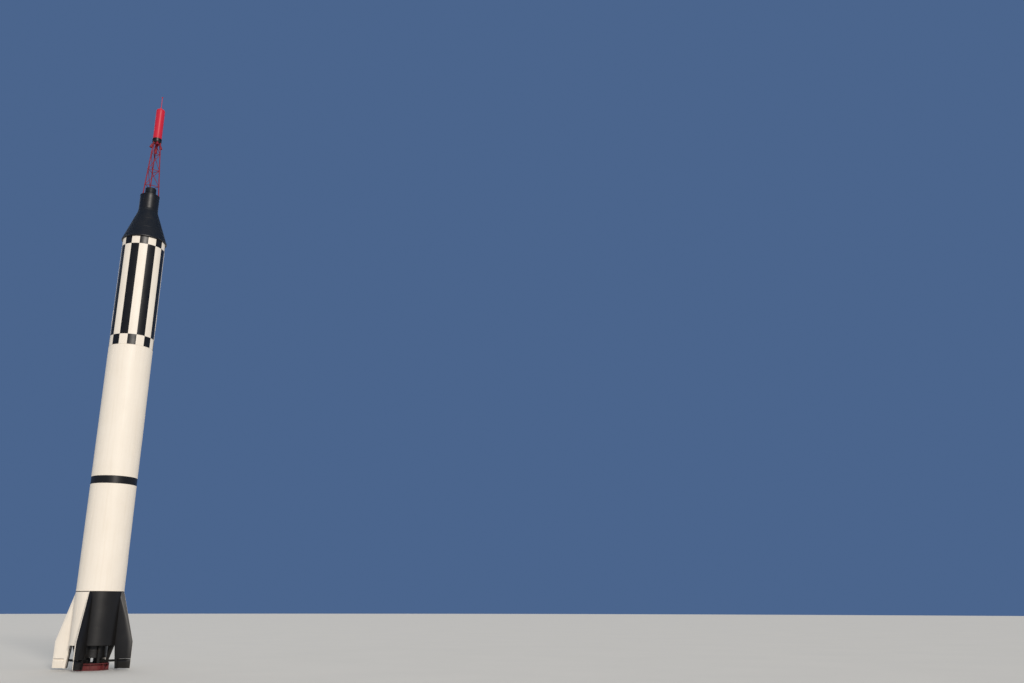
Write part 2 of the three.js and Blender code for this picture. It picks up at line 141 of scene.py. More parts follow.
# Modelling by hand: start a primitive, shape it in edit mode, settle it at the origin
def leave_edit():
    if bpy.context.mode != "OBJECT":
        bpy.ops.object.mode_set(mode="OBJECT")


def clear_selection():
    leave_edit()
    bpy.ops.object.select_all(action="DESELECT")


def take(piece):
    clear_selection()
    piece.select_set(True)
    bpy.context.view_layer.objects.active = piece


def named(piece, name):
    piece.name = name
    piece.data.name = name
    return piece


def settle(name):
    """Names the new primitive and puts its place into its mesh."""
    bpy.ops.object.transform_apply(location=True, rotation=True, scale=True)
    return named(bpy.context.object, name)


def edit(piece):
    take(piece)
    bpy.ops.object.mode_set(mode="EDIT")


def done(piece, smooth=35):
    """Ends edit mode and shades the piece: wide faces stay true, narrow eased edges take the bend."""
    leave_edit()
    if smooth:
        take(piece)
        bpy.ops.object.shade_smooth_by_angle(angle=math.radians(smooth))
        modify(piece, "WEIGHTED_NORMAL", keep_sharp=True)
    return piece


def pick(piece, kind, test):
    """In edit mode, selects the points, edges or faces whose middle passes the test."""
    bpy.ops.mesh.select_mode(type=kind)
    bpy.ops.mesh.select_all(action="DESELECT")
    mesh = bmesh.from_edit_mesh(piece.data)
    if kind == "VERT":
        for point in mesh.verts:
            point.select_set(test(point.co))
    elif kind == "EDGE":
        for edge in mesh.edges:
            edge.select_set(test((edge.verts[0].co + edge.verts[1].co) / 2))
    else:
        for face in mesh.faces:
            face.select_set(test(face.calc_center_median()))
    bmesh.update_edit_mesh(piece.data)


def slice_at(point, normal, clear=False):
    """Cuts all of the piece in edit mode along a plane, and may clear away what is in front of it."""
    bpy.ops.mesh.select_all(action="SELECT")
    bpy.ops.mesh.bisect(plane_co=point, plane_no=normal, clear_outer=clear)


def modify(piece, kind, **settings):
    take(piece)
    modifier = piece.modifiers.new(kind.lower(), kind)
    for key, value in settings.items():
        setattr(modifier, key, value)
    bpy.ops.object.modifier_apply(modifier=modifier.name)
    return piece


def ease_edges(piece, width, segments=2, angle=30):
    """Rounds the edges that turn by more than the angle."""
    limit = math.radians(angle)
    return modify(piece, "BEVEL", width=width, segments=segments, limit_method="ANGLE", angle_limit=limit)


def thicken(piece, wall):
    """Gives an open shell a wall, inwards."""
    return modify(piece, "SOLIDIFY", thickness=wall, offset=-1)


def cylinder(name, sides, radius, depth, location, rotation=(0, 0, 0), ends="NGON"):
    clear_selection()
    bpy.ops.mesh.primitive_cylinder_add(
        vertices=sides, radius=radius, depth=depth, end_fill_type=ends, location=location, rotation=rotation
    )
    return settle(name)


def turned(name, profile, sides, open_ends=False, smooth=35):
    """A round piece: a cylinder cut at each height of the profile, each ring scaled to its radius."""
    low, high = profile[0][1], profile[-1][1]
    ends = "NOTHING" if open_ends else "NGON"
    piece = cylinder(name, sides, profile[0][0], high - low, (0, 0, (low + high) / 2), ends=ends)
    edit(piece)
    for radius, height in profile[1:-1]:
        slice_at((0, 0, height), (0, 0, 1))
    for radius, height in profile[1:]:
        pick(piece, "VERT", lambda co, height=height: abs(co.z - height) < NEAR)
        share = radius / profile[0][0]
        bpy.ops.transform.resize(value=(share, share, 1), center_override=(0, 0, height))
    return done(piece, smooth)


def open_middle(piece, wall):
    """Opens a round piece through both ends and leaves a ring with this wall."""
    edit(piece)
    pick(piece, "FACE", lambda co: math.hypot(co.x, co.y) < 0.05)
    bpy.ops.mesh.inset(thickness=wall)
    bpy.ops.mesh.bridge_edge_loops()
    return done(piece)


def block(name, low, high):
    clear_selection()
    low, high = Vector(low), Vector(high)
    bpy.ops.mesh.primitive_cube_add(size=1, location=(low + high) / 2, scale=high - low)
    return settle(name)


def bar(name, start, end, radius, sides):
    """A round bar between two points."""
    start, end = Vector(start), Vector(end)
    along = end - start
    lean = along.to_track_quat("Z", "Y").to_euler()
    return cylinder(name, sides, radius, along.length, (start + end) / 2, lean)


def lifted(height):
    return Matrix.Translation((0, 0, height))


def about_axis(degrees):
    return Matrix.Rotation(math.radians(degrees), 4, "Z")


def turn(piece, degrees):
    """Turns a finished mesh about the rocket's axis."""
    piece.data.transform(about_axis(degrees))
    return piece


def copy_of(piece, name):
    twin = piece.copy()
    twin.data = piece.data.copy()
    bpy.context.scene.collection.objects.link(twin)
    return named(twin, name)


def joined(name, pieces):
    clear_selection()
    for piece in pieces:
        piece.select_set(True)
    bpy.context.view_layer.objects.active = pieces[0]
    if len(pieces) > 1:
        bpy.ops.object.join()
    return named(bpy.context.object, name)


def array_round(piece, count, span=360):
    """Repeats a piece round the axis: count copies, spread over span degrees."""
    pivot = bpy.data.objects.new("pivot", None)
    bpy.context.scene.collection.objects.link(pivot)
    pivot.rotation_euler = (0, 0, math.radians(span / count))
    bpy.context.view_layer.update()
    places = {"use_relative_offset": False, "use_object_offset": True, "offset_object": pivot}
    modify(piece, "ARRAY", count=count, **places)
    bpy.data.objects.remove(pivot)
    return piece


def dressed_copy(node, name, bevel):
    """A clean copy of a CAD node's mesh with its flat faces whole and its edges eased."""
    piece = copy_of(NODES[node], name)
    for key in list(piece.keys()):
        del piece[key]
    piece.parent = None
    piece.data.materials.clear()
    edit(piece)
    bpy.ops.mesh.select_all(action="SELECT")
    bpy.ops.mesh.remove_doubles(threshold=1e-5)
    bpy.ops.mesh.dissolve_limited(angle_limit=math.radians(0.5))
    leave_edit()
    return done(ease_edges(piece, bevel, angle=35))


def finish(piece, paint, body="rocket", stands_for=()):
    """Paints a piece, lets it ride on its body, and hides the CAD parts it stands for."""
    piece.data.materials.clear()
    for name in paint if isinstance(paint, list) else [paint]:
        piece.data.materials.append(FINISH[name])
    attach(piece, body)
    if stands_for:
        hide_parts(*stands_for)
    return piece


def round_piece(name, profile, sides, paint, node):
    """A turned piece that stands for one CAD node."""
    return finish(turned(name, profile, sides), paint, stands_for=[node])


def dressed_node(node, bevel, paint, body="rocket", name=None):
    """A dressed copy that stands for its own CAD node."""
    return finish(dressed_copy(node, name or node + "_body", bevel), paint, body, [node])


# Materials
class Paint:
    """Builds one procedural material step by step."""

    def __init__(self, name, color, roughness, metallic=0.0, **sockets):
        self.material = bpy.data.materials.new(name)
        self.material.use_nodes = True
        self.tree = self.material.node_tree
        self.shader = self.tree.nodes["Principled BSDF"]
        self.shader.inputs["Base Color"].default_value = (*color, 1)
        self.shader.inputs["Roughness"].default_value = roughness
        self.shader.inputs["Metallic"].default_value = metallic
        for key, value in sockets.items():
            self.shader.inputs[key.replace("_", " ")].default_value = value
        self.place = self.add("ShaderNodeTexCoord").outputs["Object"]
        self.color = color
        self.tint = None
        self.height = None

    def add(self, kind, **settings):
        node = self.tree.nodes.new(kind)
        for key, value in settings.items():
            setattr(node, key, value)
        return node

    def link(self, output, socket):
        self.tree.links.new(output, socket)

    def stretched(self, scale):
        mapping = self.add("ShaderNodeMapping")
        mapping.inputs["Scale"].default_value = scale
        self.link(self.place, mapping.inputs["Vector"])
        return mapping.outputs["Vector"]

    def noise(self, scale, detail, roughness=0.55, stretch=(1, 1, 1), low=0.3, high=0.7):
        """Soft spots from 0 to 1."""
        texture = self.add("ShaderNodeTexNoise")
        texture.inputs["Scale"].default_value = scale
        texture.inputs["Detail"].default_value = detail
        texture.inputs["Roughness"].default_value = roughness
        self.link(self.stretched(stretch), texture.inputs["Vector"])
        return self.ramp(texture.outputs["Fac"], low, high)

    def ramp(self, value, low, high, out_low=0.0, out_high=1.0):
        span = self.add("ShaderNodeMapRange")
        limits = {"From Min": low, "From Max": high, "To Min": out_low, "To Max": out_high}
        for key, number in limits.items():
            span.inputs[key].default_value = number
        self.link(value, span.inputs["Value"])
        return span.outputs["Result"]

    def math(self, operation, first, second):
        node = self.add("ShaderNodeMath", operation=operation)
        for value, socket in ((first, node.inputs[0]), (second, node.inputs[1])):
            if isinstance(value, (int, float)):
                socket.default_value = value
            else:
                self.link(value, socket)
        return node.outputs[0]

    def stain(self, mask, color, share):
        """Lays a colour over the base where the mask is high."""
        mix = self.add("ShaderNodeMix", data_type="RGBA")
        self.link(self.math("MULTIPLY", mask, share), mix.inputs["Factor"])
        if self.tint is None:
            mix.inputs["A"].default_value = (*self.color, 1)
        else:
            self.link(self.tint, mix.inputs["A"])
        mix.inputs["B"].default_value = (*color, 1)
        self.tint = mix.outputs["Result"]
        self.link(self.tint, self.shader.inputs["Base Color"])
        return self

    def gloss(self, mask, low, high):
        """Roughness that runs from low to high with the mask."""
        self.link(self.ramp(mask, 0, 1, low, high), self.shader.inputs["Roughness"])
        return self

    def relief(self, value, distance, strength):
        bump = self.add("ShaderNodeBump")
        bump.inputs["Distance"].default_value = distance
        bump.inputs["Strength"].default_value = strength
        self.link(value, bump.inputs["Height"])
        if self.height is not None:
            self.link(self.height, bump.inputs["Normal"])
        self.height = bump.outputs["Normal"]
        self.link(self.height, self.shader.inputs["Normal"])
        return self


def enamel(name, color, dirt, roughness, streak, grime, level):
    """Weathered gloss paint on rolled sheet: faint clouds, rain streaks and orange peel."""
    paint = Paint(name, color, roughness, Specular_IOR_Level=level)
    clouds = paint.noise(0.9, 5)
    streaks = paint.noise(1.0, 4, 0.6, stretch=(9, 9, 0.35), low=0.48, high=0.75)
    specks = paint.noise(38, 2, low=0.66, high=0.74)
    paint.stain(clouds, dirt, grime * 0.35)
    paint.stain(streaks, dirt, streak)
    paint.stain(specks, dirt, grime * 0.4)
    paint.gloss(paint.noise(2.3, 4), roughness - 0.04, roughness + 0.06)
    paint.relief(paint.noise(1.7, 2), 0.003, 0.4)
    paint.relief(paint.noise(420, 2), 0.0002, 0.3)
    return paint.material


def make_finishes():
    finishes = {}
    enamels = [
        # key, name, colour, dirt, roughness, streak, grime, level
        ("white", "white", (0.87, 0.80, 0.71), (0.68, 0.58, 0.46), 0.42, 0.22, 0.5, 0.25),
        ("black", "black", (0.0060, 0.0054, 0.0050), (0.016, 0.013, 0.011), 0.38, 0.25, 0.5, 0.45),
        ("motor", "motor red", (0.56, 0.014, 0.040), (0.36, 0.01, 0.03), 0.40, 0.2, 0.5, 0.3),
        ("tower", "tower red", (0.24, 0.008, 0.022), (0.13, 0.006, 0.012), 0.45, 0.2, 0.5, 0.3),
        ("stand", "stand red", (0.15, 0.016, 0.020), (0.16, 0.07, 0.06), 0.6, 0.5, 0.9, 0.3),
    ]
    for key, name, *recipe in enamels:
        finishes[key] = enamel(name + " enamel", *recipe)

    shingle = Paint("oxidised shingle", (0.0060, 0.0090, 0.0145), 0.5, Specular_IOR_Level=0.25)
    shingle.stain(shingle.noise(2.6, 5), (0.0135, 0.0145, 0.0175), 0.6)
    streaks = shingle.noise(1.0, 4, stretch=(14, 14, 0.8), low=0.5, high=0.8)
    shingle.stain(streaks, (0.021, 0.021, 0.022), 0.35)
    shingle.gloss(shingle.noise(5, 4), 0.42, 0.6)
    shingle.relief(shingle.noise(260, 2), 0.0002, 0.4)
    finishes["shingle"] = shingle.material

    plate = Paint("dark plate", (0.0050, 0.0056, 0.0075), 0.40, Specular_IOR_Level=0.45)
    plate.stain(plate.noise(3.2, 5), (0.014, 0.013, 0.013), 0.6)
    plate.gloss(plate.noise(4, 4), 0.37, 0.46)
    plate.relief(plate.noise(3, 2), 0.002, 0.4)
    plate.relief(plate.noise(300, 2), 0.0002, 0.4)
    finishes["plate"] = plate.material

    steel = Paint("heat stained steel", (0.10, 0.095, 0.09), 0.45, 0.85)
    steel.stain(steel.noise(3.5, 5), (0.055, 0.04, 0.03), 0.7)
    steel.stain(steel.noise(1.5, 4, stretch=(12, 12, 1), low=0.5), (0.14, 0.12, 0.10), 0.5)
    steel.gloss(steel.noise(9, 4), 0.35, 0.6)
    steel.relief(steel.noise(160, 3), 0.0004, 0.5)
    finishes["steel"] = steel.material

    dark = Paint("dark painted steel", (0.010, 0.010, 0.0095), 0.5, Specular_IOR_Level=0.3)
    dark.stain(dark.noise(6, 5, low=0.5), (0.035, 0.022, 0.014), 0.5)
    dark.gloss(dark.noise(9, 4), 0.42, 0.62)
    dark.relief(dark.noise(200, 3), 0.0003, 0.5)
    finishes["dark"] = dark.material

    carbon = Paint("machined carbon", (0.018, 0.018, 0.019), 0.7, Specular_IOR_Level=0.3)
    carbon.stain(carbon.noise(20, 5), (0.036, 0.035, 0.034), 0.6)
    carbon.relief(carbon.noise(1, 2, stretch=(4, 4, 420)), 0.0002, 0.5)
    carbon.gloss(carbon.noise(30, 3), 0.6, 0.85)
    finishes["carbon"] = carbon.material

    glass = Paint("window glass", (0.55, 0.64, 0.66), 0.03, 0.0, Transmission_Weight=0.97, IOR=1.45)
    glass.stain(glass.noise(6, 3), (0.42, 0.50, 0.50), 0.3)
    glass.gloss(glass.noise(12, 3), 0.01, 0.05)
    finishes["glass"] = glass.material

    cloth = Paint("couch cloth", (0.16, 0.175, 0.18), 0.85, 0.0, Sheen_Weight=0.3)
    threads = 1.0
    for flip in ((1, 1, 1), (1, -1, 1), (-1, 1, 1)):
        wave = cloth.add("ShaderNodeTexWave", wave_type="BANDS", bands_direction="DIAGONAL")
        wave.inputs["Scale"].default_value = 180
        cloth.link(cloth.stretched(flip), wave.inputs["Vector"])
        threads = cloth.math("MULTIPLY", wave.outputs["Fac"], threads)
    cloth.stain(threads, (0.24, 0.25, 0.25), 0.6)
    cloth.stain(cloth.noise(7, 4), (0.11, 0.115, 0.12), 0.5)
    cloth.relief(threads, 0.0008, 0.7)
    finishes["cloth"] = cloth.material

    panel = Paint("instrument grey", (0.10, 0.11, 0.115), 0.55)
    panel.stain(panel.noise(9, 4), (0.07, 0.075, 0.08), 0.5)
    panel.relief(panel.noise(500, 2), 0.0002, 0.5)
    finishes["panel"] = panel.material
    dial = Paint("dial black", (0.01, 0.01, 0.01), 0.2, 0.0, Coat_Weight=1.0)
    dial.stain(dial.noise(60, 2, low=0.6), (0.05, 0.05, 0.05), 0.4)
    finishes["dial"] = dial.material
    return finishes


FINISH = make_finishes()
TWO_TONE = ["white", "black"]


# Small parts that repeat
def outward_head(name, sides, radius, back, front, rim, rise, smooth=30):
    """A round head that points out along X. Inside its rim the face is raised, or sunk."""
    middle = ((back + front) / 2, 0, 0)
    head = cylinder(name, sides, radius, front - back, middle, (0, math.pi / 2, 0))
    edit(head)
    pick(head, "FACE", lambda co: co.x > front - NEAR)
    bpy.ops.mesh.inset(thickness=rim, depth=rise)
    return done(head, smooth)


def set_out(name, head, places):
    """Puts a copy of the head at each place, given as a matrix, and joins the copies."""
    copies = []
    for place in places:
        twin = copy_of(head, name + "_copy")
        twin.data.transform(place)
        copies.append(twin)
    bpy.data.objects.remove(head)
    return joined(name, copies)


def stud_rows(name, radius, heights, count, start=0.0, size=0.005, span=360, proud=0.0025, paint="white"):
    """Rows of round heads on a drum: one head modelled, then repeated round the axis."""
    head = outward_head(name, 8, size, radius - 0.002, radius + proud, size * 0.4, proud * 0.3, 60)
    turn(head, start)
    array_round(head, count, span)
    return finish(set_out(name, head, [lifted(height) for height in heights]), paint)


def curved_plate(name, angle, width, bottom, top):
    """A plate that lies on the booster's skin, with round corners and eased edges."""
    proud = 0.004
    corner = 0.03
    plate = cylinder(name, DRUM_SIDES, BODY, top - bottom, (0, 0, (top + bottom) / 2), ends="NOTHING")
    edit(plate)
    slice_at((0, width / 2, 0), (0, 1, 0), clear=True)
    slice_at((0, -width / 2, 0), (0, -1, 0), clear=True)
    slice_at((0, 0, 0), (-1, 0, 0), clear=True)
    side = width / 2 - NEAR
    pick(plate, "VERT", lambda co: abs(co.y) > side and min(co.z - bottom, top - co.z) < NEAR)
    bpy.ops.mesh.bevel(offset=corner, segments=4, affect="VERTICES")
    leave_edit()
    modify(plate, "SOLIDIFY", thickness=2 * proud, offset=0)
    ease_edges(plate, 0.0015, angle=50)
    turn(plate, angle)
    return done(plate)


def wheel_of_bolts(name, radius, height, count, size=0.014, tall=0.014, start=0.0, paint="dark", way=1):
    """Hexagon bolts with washers on a level ring. They hang under it where way is -1."""
    sunk = 0.001
    bolt = cylinder(name, 6, size, tall, (radius, 0, height + way * (tall / 2 - sunk)))
    ease_edges(bolt, size * 0.12, 1, 40)
    washer = cylinder(name + "_washer", 16, size * 1.35, 0.003, (radius, 0, height + way * sunk))
    bolts = done(joined(name, [bolt, washer]), 30)
    turn(bolts, start)
    array_round(bolts, count)
    return finish(bolts, paint)


# Profiles of turned pieces: pairs of radius and height
def above(base, points):
    """Points whose heights are counted from a base."""
    return [(radius, base + rise) for radius, rise in points]


def groove(radius, low, high, deep, slope):
    """A shallow groove between two eased edges."""
    return [(radius, low), (radius - deep, low + slope), (radius - deep, high - slope), (radius, high)]


def weld(radius, height, wide=0.007, deep=0.0015):
    """The groove of one welded joint."""
    return groove(radius, height - wide, height + wide, deep, wide * 0.65)


def skin_profile(radius, bottom, top, welds, lip=0.0):
    if lip:
        profile = above(bottom, [(radius + lip, 0), (radius + lip, 0.027), (radius, 0.030)])
    else:
        profile = above(bottom, [(radius - 0.003, 0), (radius, 0.004)])
    for height in welds:
        profile += weld(radius, height)
    return profile + [(radius, top - 0.004 - GAP), (radius - 0.003, top - GAP)]


# Booster body
def paint_faces(piece, test):
    """The faces whose middle and normal pass the test take the piece's second finish."""
    for face in piece.data.polygons:
        face.material_index = 1 if test(face.center, face.normal) else 0


def segment_of(co):
    """Which of the painted segments round the body a point is in, counted from +X."""
    width = 360 / SEGMENTS
    return math.floor((math.degrees(math.atan2(co.y, co.x)) + width / 2) / width) % SEGMENTS


def paint_segments(piece, odd_at):
    """Every second segment of the wall turns black. odd_at tells where those are the odd ones."""
    paint_faces(piece, lambda co, normal: abs(normal.z) < 0.9 and segment_of(co) % 2 == odd_at(co.z))


def booster_body():
    sections = [
        # name, node, bottom, top, radius, welds above the bottom, paint
        ("fuel_tank_body", "fuel_tank", TAIL_TOP, BAND_BOTTOM, BODY, (1.38, 2.80), "white"),
        ("band_body", "black_band", BAND_BOTTOM, BAND_TOP, BODY, (), "black"),
        ("oxidiser_tank_body", "oxidiser_tank", BAND_TOP, TANK_TOP, BODY, (1.38, 2.77, 4.16), "white"),
        ("separation_ring_body", "separation_ring", TANK_TOP, RING_TOP, BODY - 0.006, (), "white"),
    ]
    for name, node, bottom, top, radius, welds, paint in sections:
        lip = TANK_LIP if node == "fuel_tank" else 0.0
        profile = skin_profile(radius, bottom, top, [bottom + rise for rise in welds], lip)
        round_piece(name, profile, DRUM_SIDES, paint, node)

    profile = skin_profile(BODY, RING_TOP, SECTION_TOP, [CHECK_TOP, RING_TOP + 2.53])
    name = "instrument_section"
    section = round_piece(name + "_body", profile, DRUM_SIDES, TWO_TONE, name)
    paint_segments(section, lambda height: height < CHECK_TOP)
    profile = skin_profile(BODY, SECTION_TOP, ADAPTER_TOP, [])
    adapter = round_piece("adapter_body", profile, DRUM_SIDES, TWO_TONE, "capsule_adapter")
    paint_segments(adapter, lambda height: True)


# Weld beads along the tanks, in opposite pairs: bottom, top, angle of the first
BEADS = [
    (TAIL_TOP + 0.04, TAIL_TOP + 1.36, 20),
    (TAIL_TOP + 1.40, TAIL_TOP + 2.78, 110),
    (TAIL_TOP + 2.82, BAND_BOTTOM - 0.02, 65),
    (BAND_TOP + 0.02, BAND_TOP + 1.36, 155),
    (BAND_TOP + 1.40, BAND_TOP + 2.75, 20),
    (BAND_TOP + 2.79, BAND_TOP + 4.14, 110),
    (BAND_TOP + 4.18, TANK_TOP - 0.02, 65),
]

# Closed doors: name, angle, width, bottom and top above BASE, paint
DOORS = [
    ("tail_door_front_right", 315, 0.36, 1.05, 1.55, "black"),
    ("tail_door_front_left", 225, 0.36, 1.05, 1.55, "white"),
    ("tail_door_back_right", 45, 0.36, 1.05, 1.55, "white"),
    ("tail_door_back_left", 135, 0.36, 1.05, 1.55, "black"),
    ("tail_fill_door_right", 330, 0.20, 0.35, 0.58, "black"),
    ("tail_fill_door_back", 60, 0.20, 0.35, 0.58, "white"),
    ("fuel_door", 150, 0.30, 5.45, 5.80, "white"),
    ("oxidiser_door", 150, 0.30, 11.3, 11.65, "white"),
    ("instrument_door_back", 112.5, 0.27, 14.0, 14.7, "white"),
    ("instrument_door_left", 202.5, 0.27, 13.1, 13.8, "white"),
    ("instrument_door_right", 22.5, 0.27, 13.1, 13.8, "white"),
]


def door_screws(name, angle, width, bottom, top, paint):
    """Flush screws round a door: one head, set out along its four edges."""
    edge = 0.022
    spacing = 0.09
    low, high = bottom + edge, top - edge
    half = math.degrees(math.asin((width / 2 - edge) / BODY))
    across = max(3, round(width / spacing))
    up = max(3, round((high - low) / spacing))
    spots = [(angle - half + 2 * half * i / across, z) for i in range(across + 1) for z in (low, high)]
    spots += [(angle + side * half, low + (high - low) * i / up) for i in range(1, up) for side in (-1, 1)]
    head = outward_head(name, 10, 0.006, BODY + 0.002, BODY + 0.006, 0.002, -0.001)
    finish(set_out(name, head, [lifted(height) @ about_axis(spot) for spot, height in spots]), paint)


def booster_trim():
    """Rivets, weld beads along the tanks, and closed access doors."""
    stud_rows("tail_joint_studs", BODY + TANK_LIP, [TAIL_TOP + 0.014], 96, proud=0.0035)
    stud_rows("tank_foot_studs", BODY, [TAIL_TOP + 0.06], 128)
    stud_rows("band_studs", BODY, [BAND_BOTTOM - 0.03, BAND_TOP + 0.03], 128)
    stud_rows("tank_head_studs", BODY, [TANK_TOP - 0.03], 128)
    lines = [(bottom, top, angle + way) for bottom, top, angle in BEADS for way in (0, 180)]
    for number, (bottom, top, angle) in enumerate(lines, 1):
        bead = bar(f"weld_bead_{number}", (BODY - 0.001, 0, bottom), (BODY - 0.001, 0, top), 0.004, 8)
        turn(done(bead, 60), angle)
        finish(bead, "white")
    for name, angle, width, low, high, paint in DOORS:
        bottom, top = BASE + low, BASE + high
        finish(curved_plate(name, angle, width, bottom, top), paint)
        door_screws(name + "_screws", angle, width, bottom, top, paint)


# Tail unit with fins, rudders and vanes
def tail_unit():
    profile = above(BASE, [(BODY - 0.004, 0), (BODY, 0.006)])
    for height in (BASE + 0.66, BASE + 1.33):
        profile += weld(BODY, height, 0.006, 0.002)
    profile += above(TAIL_TOP, [(BODY, -0.012), (BODY - 0.006, -0.002)])
    skin = done(thicken(turned("tail_skin", profile, DRUM_SIDES, open_ends=True), 0.03))
    panels = ["tail_panel_" + place for place in ("back_right", "back_left", "front_left", "front_right")]
    finish(skin, TWO_TONE, stands_for=panels)
    paint_faces(skin, lambda co, normal: co.x * co.y < -1e-6)
    rows = [BASE + rise for rise in (0.05, 0.63, 0.69, 1.30, 1.36)] + [TAIL_TOP - 0.05]
    for place, start in (("black_a", 270), ("black_b", 90), ("white_a", 0), ("white_b", 180)):
        stud_rows("tail_studs_" + place, BODY, rows, 19, start + 9, span=77, paint=place.split("_")[0])
    # A dark strip in the recess under the tank's lip: painted shade that stands for the shadow line at the
    # joint
    out, back = BODY + 0.003, BODY - 0.003
    profile = above(TAIL_TOP, [(back, -0.032), (out, -0.030), (out, -0.004), (back, -0.002)])
    strip = turned("tail_joint_shade_strip", profile, DRUM_SIDES, open_ends=True)
    finish(done(thicken(strip, 0.004)), "dark")
    dressed_node("base_plate", 0.003, "dark")
    wheel_of_bolts("base_bolts", 0.45, BASE, 24, 0.010, 0.012, paint="steel", way=-1)


def fin_set():
    for side, angle in SIDES.items():
        # The paint changes along a fin's middle plane: each half is coloured like the tail beside it
        across = Matrix.Rotation(math.radians(angle), 3, "Z") @ Vector((0, 1, 0))
        black_side = -across if side in ("right", "left") else across
        for node, body in (("fin_" + side, "rocket"), ("rudder_" + side, "rudder_" + side)):
            piece = dressed_copy(node, node + "_body", 0.004)
            edit(piece)
            slice_at((0, 0, 0), across)
            finish(done(piece), TWO_TONE, body, [node])
            paint_faces(piece, lambda co, normal: co.dot(black_side) > 0)
        dressed_node("jet_vane_" + side, 0.002, "carbon", "jet_vane_" + side)
        dressed_node("vane_bracket_" + side, 0.005, "dark")


# Engine, shroud and stand
def engine():
    bell = above(BASE, [
        (0.373, -0.45), (0.364, -0.33), (0.351, -0.20), (0.328, -0.08), (0.298, 0.06),
        (0.260, 0.19), (0.215, 0.33), (0.175, 0.42), (0.150, 0.48), (0.150, 0.56),
    ])
    pieces = [thicken(turned("nozzle_bell", bell, 96, open_ends=True, smooth=40), 0.014)]
    for r, z in ((0.367, BASE - 0.449), (0.352, BASE - 0.25), (0.318, BASE - 0.06)):
        profile = above(z, [(r, 0), (r + 0.018, 0.004), (r + 0.018, 0.022), (r - 0.004, 0.026)])
        pieces.append(open_middle(turned("hoop", profile, 96), 0.004))
    nozzle = done(joined("nozzle_body", pieces), 40)
    finish(nozzle, "steel", stands_for=["engine_nozzle"])

    profile = above(BASE, [(0.540, -0.460), (0.544, -0.457), (0.544, -0.438), (SHROUD_RADIUS, -0.435)])
    profile += groove(SHROUD_RADIUS, BASE - 0.24, BASE - 0.226, 0.003, 0.004)
    profile += [(SHROUD_RADIUS, BASE + 0.019)]
    shroud = done(thicken(turned("shroud_body", profile, 160, open_ends=True), 0.022))
    finish(shroud, "black", stands_for=["engine_shroud"])
    rows = [BASE - 0.40, BASE - 0.27, BASE - 0.19]
    stud_rows("shroud_studs", SHROUD_RADIUS, rows, 72, size=0.006, proud=0.0035, paint="black")


def closed_engine():
    """The block that the tail closes in keeps its CAD mesh and only takes a finish."""
    mesh = NODES["engine_block"].data
    mesh.materials.clear()
    mesh.materials.append(FINISH["steel"])


def stand():
    rib_count = 8
    bolt_count = 16
    half_step = 180 / bolt_count
    top = BASE - 0.665
    rim = FLANGE_RADIUS - 0.005
    flange = [(rim, 0.0), (FLANGE_RADIUS, 0.004), (FLANGE_RADIUS, 0.024), (rim, 0.028)]
    flange += [(DRUM_RADIUS + 0.004, 0.0285), (DRUM_RADIUS, 0.034)]
    profile = flange + [(radius, top - rise) for radius, rise in reversed(flange)]
    drum = open_middle(turned("stand_drum_wall", profile, 128), 0.155)
    rib = block("stand_rib", (DRUM_RADIUS - 0.005, -0.008, 0.02), (rim - 0.010, 0.008, top - 0.02))
    ease_edges(rib, 0.003)
    turn(rib, 180 / rib_count)
    array_round(rib, rib_count)
    finish(joined("stand_drum_body", [drum, rib]), "stand", stands_for=["stand_drum"])
    wheel_of_bolts("anchor_bolts", 0.61, 0.028, bolt_count, 0.016, 0.02, half_step)
    wheel_of_bolts("drum_head_bolts", 0.60, top, bolt_count, start=half_step)
    dressed_node("stand_ring", 0.004, "dark")


# Capsule
def cone_radius(height):
    return CONE_RADIUS - (height - CONE_BASE) * math.tan(CONE_ANGLE)


def flank_block(name, half_width, half_height, height, angle, deep=0.2):
    """A block square to the cone's flank at a height."""
    piece = block(name, (-deep, -half_width, -half_height), (deep, half_width, half_height))
    piece.data.transform(Matrix.Rotation(-CONE_ANGLE, 4, "Y"))
    piece.data.transform(Matrix.Translation((cone_radius(height), 0, height)))
    return turn(piece, angle)


def cut(piece, tool, operation="DIFFERENCE"):
    """Cuts a block out of a piece, or keeps what lies in it, and clears the block away."""
    modify(piece, "BOOLEAN", operation=operation, solver="EXACT", object=tool)
    bpy.data.objects.remove(tool)


